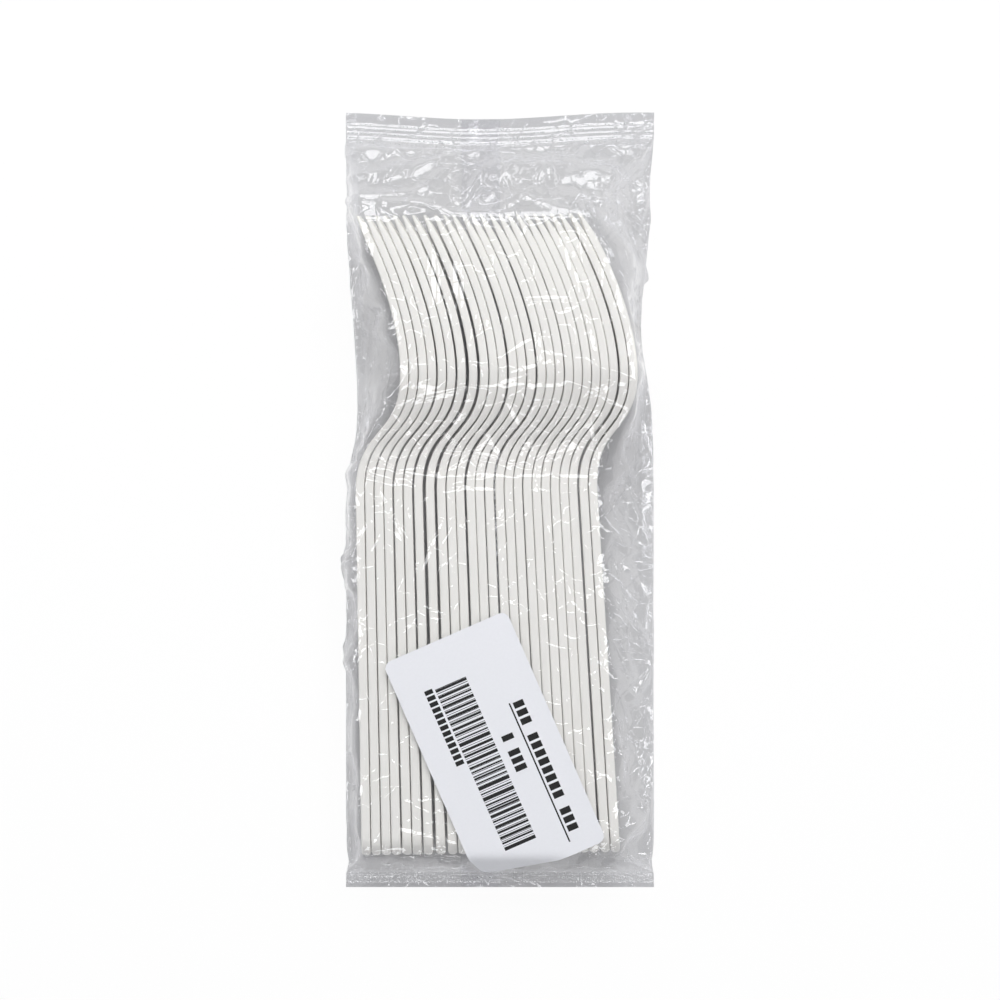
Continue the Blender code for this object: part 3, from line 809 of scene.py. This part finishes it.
def front_grid():
    """The film's front and sides, as a grid of points from the left side fold to the right one,
    and the back's height at each row."""
    film = edges_of(["film_bag"])
    low, high = BOTTOM_Y + CRIMP_DEPTH["bottom"], TOP_Y - CRIMP_DEPTH["top"]
    ys = np.concatenate(
        [
            np.arange(BOTTOM_Y, low, CRIMP_STEP),
            np.arange(low, high, FILM_STEP),
            np.arange(high, TOP_Y, CRIMP_STEP),
            [TOP_Y],
        ]
    )
    walls = np.arange(WALL_COLUMNS) / WALL_COLUMNS
    across = np.arange(FRONT_COLUMNS) / FRONT_COLUMNS
    rows, backs = [], []
    for y in ys:
        inner = clamp(y, BOTTOM_Y + END_MARGIN["bottom"], TOP_Y - CRIMP_DIP - END_MARGIN["top"])
        left, near, far, right, back = film_corners(film, inner)
        path = [(mix(left[0], near[0], k), mix(left[1], near[1], k**WALL_SAG)) for k in walls]
        path += [(mix(near[0], far[0], k), near[1]) for k in across]
        path += [
            (mix(far[0], right[0], k), mix(right[1], far[1], (1 - k) ** WALL_SAG)) for k in walls
        ]
        path.append(tuple(right))
        rows.append([(x, y, z) for x, z in path])
        backs.append(back)
    grid = blur(blur(np.array(rows), FILM_BLUR, 1), FILM_BLUR, 0)
    grid[:, :, 1] = ys[:, None]
    return grid, blur(np.array(backs)[:, None], FILM_BLUR, 0)[:, 0]


def tautness(grid):
    """1 where the film is tight over the forks, and 0 beside them."""
    y, columns = grid[:, :, 1], np.arange(grid.shape[1])
    wall = WALL_COLUMNS * TAUT_FROM
    from_left = smooth((columns - wall) / TAUT_COLUMNS)
    from_right = smooth((grid.shape[1] - 1 - wall - columns) / TAUT_COLUMNS)
    forks = edges_of(FORKS)
    tips, ends = forks[0][:, 1].max(), forks[0][:, 1].min()
    along = smooth((tips + TAUT_PAST_TIPS - y) / RELIEF_FADE) * smooth((y - ends) / RELIEF_FADE)
    return (from_left * from_right)[None, :] * along


def crumpled_front(grid):
    """The front with its folds and crumples, and how taut it is."""
    x, y = grid[:, :, 0], grid[:, :, 1]
    over = tautness(grid)
    top_crimp = smooth((TOP_Y - CRIMP_DEPTH["top"] - y) / RELIEF_FADE)
    bottom_crimp = smooth((y - BOTTOM_Y - CRIMP_DEPTH["bottom"]) / RELIEF_FADE)
    columns = np.arange(grid.shape[1])
    edge = smooth((columns + 1) / EDGE_COLUMNS) * smooth((grid.shape[1] - columns) / EDGE_COLUMNS)
    free = top_crimp * bottom_crimp * mix(EDGE_RELIEF, 1.0, edge)[None, :]
    rough = np.zeros_like(x)
    for scale, (spacing, height) in enumerate(CRUMPLES):
        field = crumple_field(spacing, height, scale + CRUMPLE_SEED)
        flat = [drop(field, a, b) for a, b in zip(x.ravel(), y.ravel())]
        rough += np.array(flat).reshape(x.shape)
    rough *= mix(1.0, OVER_FORKS["crumples"], over)
    folds = fold_heights(x, y, FOLDS) * mix(1.0, OVER_FORKS["folds"], over)
    folds += fold_heights(x, y, wrinkles()) * mix(1.0, OVER_FORKS["wrinkles"], over)
    out = (rough + folds) * free * (1 - label_mask(x, y))
    out = np.where(over > LIFTED_FROM, np.maximum(out, -FILM_LIFT), out)
    return grid + normals_of(grid) * out[:, :, None], over


def ribbed(grid):
    """Presses the crimps' ribs into a grid of film."""
    y = grid[:, :, 1]
    for side, distance in (("top", TOP_Y - y), ("bottom", y - BOTTOM_Y)):
        into, left = distance - CRIMP_MARGIN[side], CRIMP_DEPTH[side] - distance
        in_ribs = smooth(into / RIB_EASE) * smooth(left / RIB_EASE)
        wave = 0.5 + 0.5 * np.cos(2 * math.pi * into / RIB_PITCH)
        grid[:, :, 2] += RIB_HEIGHT * in_ribs * wave
    return grid


def drawn_down(grid):
    """Draws the top crimp's middle down, and the film below it a little."""
    gathered = smooth((grid[:, :, 1] - (TOP_Y - CRIMP_DEPTH["top"] - DIP_REACH)) / DIP_REACH)
    grid[:, :, 1] -= gathered * crimp_dip(grid[:, :, 0])
    return grid


def back_grid(front, heights):
    """The film's back as two grids: from the right side fold to the fin seal, and from the
    folded seal to the left side fold."""
    shares = [k / BACK_STEPS for k in range(1, BACK_STEPS + 1)]
    past_seal = -FIN_WIDTH - 2 * MM
    to_seal, from_seal = [], []
    for row, low in zip(front, heights):
        (left, y, left_z), (right, _, right_z) = row[0], row[-1]
        floor = low + BACK_LIFT
        path = [(right, right_z)]
        path += [(right - BACK_FOLD * smooth(k), mix(right_z, floor, k)) for k in shares]
        path += [(mix(right - BACK_FOLD, -FIN_WIDTH, k), floor) for k in shares]
        rest = [
            (-FIN_WIDTH, floor + SEAL_PLY),
            (0, floor + SEAL_PLY),
            (0, floor + 2 * SEAL_PLY),
            (-FIN_WIDTH - 0.3 * MM, floor + 2 * SEAL_PLY),
            (past_seal, floor),
        ]
        rest += [(mix(past_seal, left + BACK_FOLD, k), floor) for k in shares]
        rest += [(left + BACK_FOLD * (1 - smooth(k)), mix(floor, left_z, k)) for k in shares]
        to_seal.append([(x, y, z) for x, z in path])
        from_seal.append([(x, y, z) for x, z in rest])
    return np.array(to_seal), np.array(from_seal)


def grid_faces(bm, grid, first=None, last=None):
    """Adds a grid's faces, and returns its vertices row by row. Its first or last column can be
    vertices that are already there."""
    made = []
    for index, row in enumerate(grid):
        new = row[(1 if first else 0) : (-1 if last else None)]
        line = [bm.verts.new(point) for point in new]
        if first:
            line.insert(0, first[index])
        if last:
            line.append(last[index])
        made.append(line)
    for low, high in zip(made, made[1:]):
        for k in range(len(low) - 1):
            bm.faces.new((low[k], low[k + 1], high[k + 1], high[k]))
    return made


def make_film(plastic):
    """The bag as one sheet: its front and sides, and its back joined to them at both folds."""
    base, backs = front_grid()
    crumpled, over = crumpled_front(base)
    front = ribbed(crumpled)
    back_right, back_left = back_grid(front, backs)
    bm = bmesh.new()
    welded = bm.verts.layers.float.new("welded")
    taut = bm.verts.layers.float.new("taut")
    made = grid_faces(bm, drawn_down(front))
    for row, shares in zip(made, over):
        for vertex, share in zip(row, shares):
            vertex[taut] = share
    right = grid_faces(bm, drawn_down(back_right), first=[row[-1] for row in made])
    left = grid_faces(bm, drawn_down(back_left), last=[row[0] for row in made])
    for row in left:
        for vertex in row[:SEAL_COLUMNS]:
            vertex[welded] = 1.0
    low, high = BOTTOM_Y + CRIMP_DEPTH["bottom"], TOP_Y - CRIMP_DEPTH["top"]
    for row in right + left:
        for vertex in row:
            if not low <= vertex.co.y <= high:
                vertex[welded] = 1.0
    mesh = bpy.data.meshes.new("film")
    bm.to_mesh(mesh)
    bm.free()
    mesh.materials.append(plastic)
    mesh.shade_smooth()
    film = new_object("film_wrap", mesh)
    film.visible_shadow = False
    film.visible_diffuse = False
    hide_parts("film_bag")
    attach(film, "root")
    return film


def knurl_tree():
    """Geometry nodes that scatter a crimp's knurls in rows and lay them on the film."""
    tree = bpy.data.node_groups.new("crimp_knurls", "GeometryNodeTree")
    for name, kind in (
        ("Film", "NodeSocketObject"),
        ("Material", "NodeSocketMaterial"),
        ("Rows", "NodeSocketInt"),
        ("Marks", "NodeSocketInt"),
        ("Width", "NodeSocketFloat"),
        ("Depth", "NodeSocketFloat"),
        ("Middle", "NodeSocketVector"),
        ("Dip", "NodeSocketFloat"),
        ("Kept", "NodeSocketFloat"),
        ("Seed", "NodeSocketInt"),
    ):
        tree.interface.new_socket(name, in_out="INPUT", socket_type=kind)
    tree.interface.new_socket("Geometry", in_out="OUTPUT", socket_type="NodeSocketGeometry")
    given = add(tree, "NodeGroupInput").outputs
    grid = add(
        tree,
        "GeometryNodeMeshGrid",
        Size_X=given["Width"],
        Size_Y=given["Depth"],
        Vertices_X=given["Marks"],
        Vertices_Y=given["Rows"],
    )
    kept = add(
        tree,
        "FunctionNodeRandomValue",
        {"data_type": "BOOLEAN"},
        in_6=given["Kept"],
        in_8=given["Seed"],
    )
    missed = add(tree, "FunctionNodeBooleanMath", {"operation": "NOT"}, in_0=kept)
    marks = add(
        tree, "GeometryNodeDeleteGeometry", {"domain": "POINT"}, Geometry=grid, Selection=missed
    )
    jitter = add(
        tree,
        "FunctionNodeRandomValue",
        {"data_type": "FLOAT_VECTOR"},
        in_0=[-reach for reach in KNURL_JITTER],
        in_1=KNURL_JITTER,
        in_8=given["Seed"],
    )
    place = add(tree, "GeometryNodeInputPosition")
    across = add(tree, "ShaderNodeSeparateXYZ", Vector=place)
    off = add(tree, "ShaderNodeMath", {"operation": "ADD"}, in_0=across, in_1=FIN_WIDTH / 2)
    away = add(tree, "ShaderNodeMath", {"operation": "ABSOLUTE"}, in_0=off)
    dip = add(
        tree,
        "ShaderNodeMapRange",
        {"interpolation_type": "SMOOTHSTEP"},
        Value=away,
        From_Min=0.0,
        From_Max=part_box("film_bag")[1].x,
        To_Min=given["Dip"],
        To_Max=0.0,
    )
    down = add(tree, "ShaderNodeMath", {"operation": "MULTIPLY"}, in_0=dip, in_1=-1.0)
    drawn = add(tree, "ShaderNodeCombineXYZ", Y=down)
    moved = add(
        tree, "ShaderNodeVectorMath", {"operation": "ADD"}, in_0=jitter, in_1=given["Middle"]
    )
    offset = add(tree, "ShaderNodeVectorMath", {"operation": "ADD"}, in_0=moved, in_1=drawn)
    above = add(tree, "GeometryNodeSetPosition", Geometry=marks, Offset=offset)
    film = add(
        tree, "GeometryNodeObjectInfo", {"transform_space": "RELATIVE"}, Object=given["Film"]
    ).outputs["Geometry"]
    hit = add(
        tree, "GeometryNodeRaycast", in_0=film, Ray_Direction=(0, 0, -1), Ray_Length=1.0
    ).outputs
    lain = add(
        tree,
        "GeometryNodeSetPosition",
        Geometry=above,
        Selection=hit["Is Hit"],
        Position=hit["Hit Position"],
    )
    mark = add(tree, "GeometryNodeMeshIcoSphere", Radius=1.0, Subdivisions=1)
    knurl = add(tree, "GeometryNodeTransform", Geometry=mark, Scale=KNURL_SIZE)
    scale = add(
        tree,
        "FunctionNodeRandomValue",
        {"data_type": "FLOAT"},
        in_2=KNURL_SCALE[0],
        in_3=KNURL_SCALE[1],
        in_8=given["Seed"],
    )
    placed = add(
        tree, "GeometryNodeInstanceOnPoints", Points=lain, Instance=knurl, Scale=scale
    )
    real = add(tree, "GeometryNodeRealizeInstances", Geometry=placed)
    rounded = add(tree, "GeometryNodeSetShadeSmooth", in_0=real, Shade_Smooth=True)
    coated = add(
        tree, "GeometryNodeSetMaterial", Geometry=rounded, Material=given["Material"]
    )
    add(tree, "NodeGroupOutput", Geometry=coated)
    return tree


def make_knurls(film, plastic):
    """The rows of small raised marks in both crimps."""
    tree = knurl_tree()
    sockets = {
        item.name: item.identifier for item in tree.interface.items_tree if item.in_out == "INPUT"
    }
    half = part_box("film_bag")[1].x
    made = []
    for order, (side, (rows, marks, kept)) in enumerate(KNURLS.items()):
        depth = (rows - 1) * RIB_PITCH
        inset = CRIMP_MARGIN[side] + depth / 2
        top = side == "top"
        values = {
            "Film": film,
            "Material": plastic,
            "Rows": rows,
            "Marks": marks,
            "Width": 2 * half - 2 * MM,
            "Depth": depth,
            "Middle": (0, TOP_Y - inset if top else BOTTOM_Y + inset, 0.1),
            "Dip": CRIMP_DIP if top else 0.0,
            "Kept": kept,
            "Seed": order + KNURL_SEED,
        }
        maker = new_object(f"knurls_{side}_maker", bpy.data.meshes.new("maker"))
        modifier = maker.modifiers.new("knurls", "NODES")
        modifier.node_group = tree
        for name, value in values.items():
            modifier[sockets[name]] = value
        maker.update_tag()
        whole = bpy.context.evaluated_depsgraph_get()
        mesh = bpy.data.meshes.new_from_object(maker.evaluated_get(whole), depsgraph=whole)
        bpy.data.objects.remove(maker)
        knurls = new_object(f"crimp_knurls_{side}", mesh)
        knurls.visible_shadow = False
        knurls.visible_diffuse = False
        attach(knurls, "root")
        made.append(knurls)
    return made


# Label


def make_label(paper):
    """The label as a thin sheet cut from its flat shape, bent along the solid label's path."""
    low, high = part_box("label")
    solid = edges_of(["label"])
    path_y = np.linspace(high.y - LABEL_PATH_INSET, low.y + LABEL_PATH_INSET, LABEL_PATH_STEPS)
    path_z = np.array([cut(solid, y)[:, 1].mean() for y in path_y])
    lengths = np.concatenate([[0], np.cumsum(np.hypot(np.diff(path_y), np.diff(path_z)))])
    bm = bmesh.new()
    bmesh.ops.create_grid(bm, x_segments=1, y_segments=1, size=0.5)
    bmesh.ops.scale(bm, vec=(LABEL_WIDTH, LABEL_LENGTH, 1), verts=bm.verts)
    bmesh.ops.bevel(
        bm,
        geom=list(bm.verts),
        offset=LABEL_CORNER,
        offset_type="OFFSET",
        segments=LABEL_CORNER_STEPS,
        profile=0.5,
        affect="VERTICES",
    )
    for axis, size in ((0, LABEL_WIDTH), (1, LABEL_LENGTH)):
        for place in np.arange(-size / 2 + LABEL_STEP, size / 2, LABEL_STEP):
            at, normal = Vector(), Vector()
            at[axis], normal[axis] = place, 1
            whole = [*bm.verts, *bm.edges, *bm.faces]
            bmesh.ops.bisect_plane(bm, geom=whole, plane_co=at, plane_no=normal)
    layer = bm.loops.layers.uv.new("flat")
    for face in bm.faces:
        for loop in face.loops:
            point = loop.vert.co
            loop[layer].uv = (
                (point.x + LABEL_WIDTH / 2) / MM,
                (point.y + LABEL_LENGTH / 2) / MM,
            )
    bmesh.ops.transform(bm, matrix=Matrix.Rotation(LABEL_TURN, 4, "Z"), verts=bm.verts)
    xs = [vertex.co.x for vertex in bm.verts]
    top = max(vertex.co.y for vertex in bm.verts)
    shift = (low.x + high.x) / 2 - (min(xs) + max(xs)) / 2
    for vertex in bm.verts:
        down = top - vertex.co.y
        vertex.co.x += shift
        vertex.co.y = float(np.interp(down, lengths, path_y))
        vertex.co.z = float(np.interp(down, lengths, path_z)) - LABEL_THICKNESS / 2
    bmesh.ops.recalc_face_normals(bm, faces=bm.faces)
    bmesh.ops.solidify(bm, geom=list(bm.faces), thickness=-LABEL_THICKNESS)
    bmesh.ops.recalc_face_normals(bm, faces=bm.faces)
    mesh = bpy.data.meshes.new("label")
    bm.to_mesh(mesh)
    bm.free()
    mesh.materials.append(paper)
    mesh.shade_smooth()
    mesh.set_sharp_from_angle(angle=LABEL_SHARP)
    label = new_object("label_sheet", mesh)
    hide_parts("label")
    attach(label, "root")


# Stage


def studio_floor():
    """Painted studio table: pale grey and matt, which is how it shows through the film.

    The camera, mirrors and glass see it white where nothing lies over it.
    """
    made = new_material("studio_table")
    tree = made.node_tree
    path = add(tree, "ShaderNodeLightPath").outputs
    bare = add(
        tree, "ShaderNodeMath", {"operation": "LESS_THAN"}, in_0=path["Transparent Depth"], in_1=0.5
    )
    seen = add(
        tree, "ShaderNodeMath", {"operation": "MULTIPLY"}, in_0=path["Is Camera Ray"], in_1=bare
    )
    for ray in ("Is Glossy Ray", "Is Transmission Ray"):
        seen = add(tree, "ShaderNodeMath", {"operation": "MAXIMUM"}, in_0=seen, in_1=path[ray])
    paint = add(tree, "ShaderNodeBsdfPrincipled", Base_Color=linear("#CCCCCD"), Roughness=0.9)
    white = add(tree, "ShaderNodeBsdfPrincipled", Base_Color=linear("#FFFFFF"), Roughness=1.0)
    glow = add(tree, "ShaderNodeEmission", Color=linear("#FFFFFF"), Strength=1.0)
    backdrop = add(tree, "ShaderNodeMixShader", Fac=0.92, in_1=white, in_2=glow)
    whole = add(tree, "ShaderNodeMixShader", Fac=seen, in_1=paint, in_2=backdrop)
    add(tree, "ShaderNodeOutputMaterial", Surface=whole)
    return made


def studio_world():
    """A plain room of light: dim overhead, where the camera is, and bright at the horizon."""
    world = bpy.data.worlds.new("studio")
    world.use_nodes = True
    tree = world.node_tree
    tree.nodes.clear()
    way = add(tree, "ShaderNodeTexCoord").outputs["Object"]
    up = add(tree, "ShaderNodeSeparateXYZ", Vector=way).outputs["Z"]
    level = add(
        tree,
        "ShaderNodeMapRange",
        Value=up,
        From_Min=0.0,
        From_Max=1.0,
        To_Min=WORLD_EDGE,
        To_Max=WORLD_TOP,
    )
    glow = add(tree, "ShaderNodeBackground", Color=linear("#F6F8FC"), Strength=level)
    add(tree, "ShaderNodeOutputWorld", Surface=glow)
    return world


def softbox(name, azimuth, off_zenith, away, size, level):
    """A rectangular soft light that looks at the object. Level is its share of the light on
    something flat and white."""
    turn, tilt = math.radians(azimuth), math.radians(off_zenith)
    across, up = math.sin(tilt), math.cos(tilt)
    place = Vector((math.sin(turn) * across, math.cos(turn) * across, up)) * away
    data = bpy.data.lights.new(name, "AREA")
    data.shape = "RECTANGLE"
    data.size, data.size_y = size
    data.energy = level * math.pi**2 * away**2 / up
    light = new_object(name, data)
    light.location = place
    light.rotation_euler = place.to_track_quat("Z", "Y").to_euler()
    light.visible_camera = False


def make_stage():
    """The floor, the lamps, and a camera straight above that frames what the photograph does."""
    mesh = bpy.data.meshes.new("floor")
    bm = bmesh.new()
    bmesh.ops.create_grid(bm, x_segments=1, y_segments=1, size=FLOOR_REACH)
    bm.to_mesh(mesh)
    bm.free()
    mesh.materials.append(studio_floor())
    floor = new_object("floor", mesh)
    floor.location.z = CAD_BOX[0][2] - FLOOR_DROP

    scene = bpy.context.scene
    scene.view_settings.view_transform = "Standard"
    scene.world = studio_world()
    for lamp in SOFTBOXES:
        softbox(*lamp)

    camera = new_object("camera", bpy.data.cameras.new("camera"))
    camera.data.sensor_width = SENSOR_WIDTH
    covered = PHOTO_SIDE / PIXELS_PER_MM * MM
    camera.data.lens = camera.data.sensor_width * (CAMERA_HEIGHT - FOCUS_HEIGHT) / covered
    camera.location = (0, 0, CAMERA_HEIGHT)
    scene.camera = camera


def main():
    make_forks(moulded_cpla())
    film = make_film(polypropylene_film("polypropylene_film", FILM_HAZE, FILM_SHINE))
    # The knurls' film is drawn whitish: partly the pressed film's whitening, partly a painted
    # highlight for the crimps' bright dots.
    whitened_painted_highlight = polypropylene_film("whitened_knurls_painted_highlight", KNURL_HAZE_AND_PAINTED_HIGHLIGHT, KNURL_SHINE)
    knurls = make_knurls(film, whitened_painted_highlight)
    make_label(coated_label_paper())
    make_stage()


main()
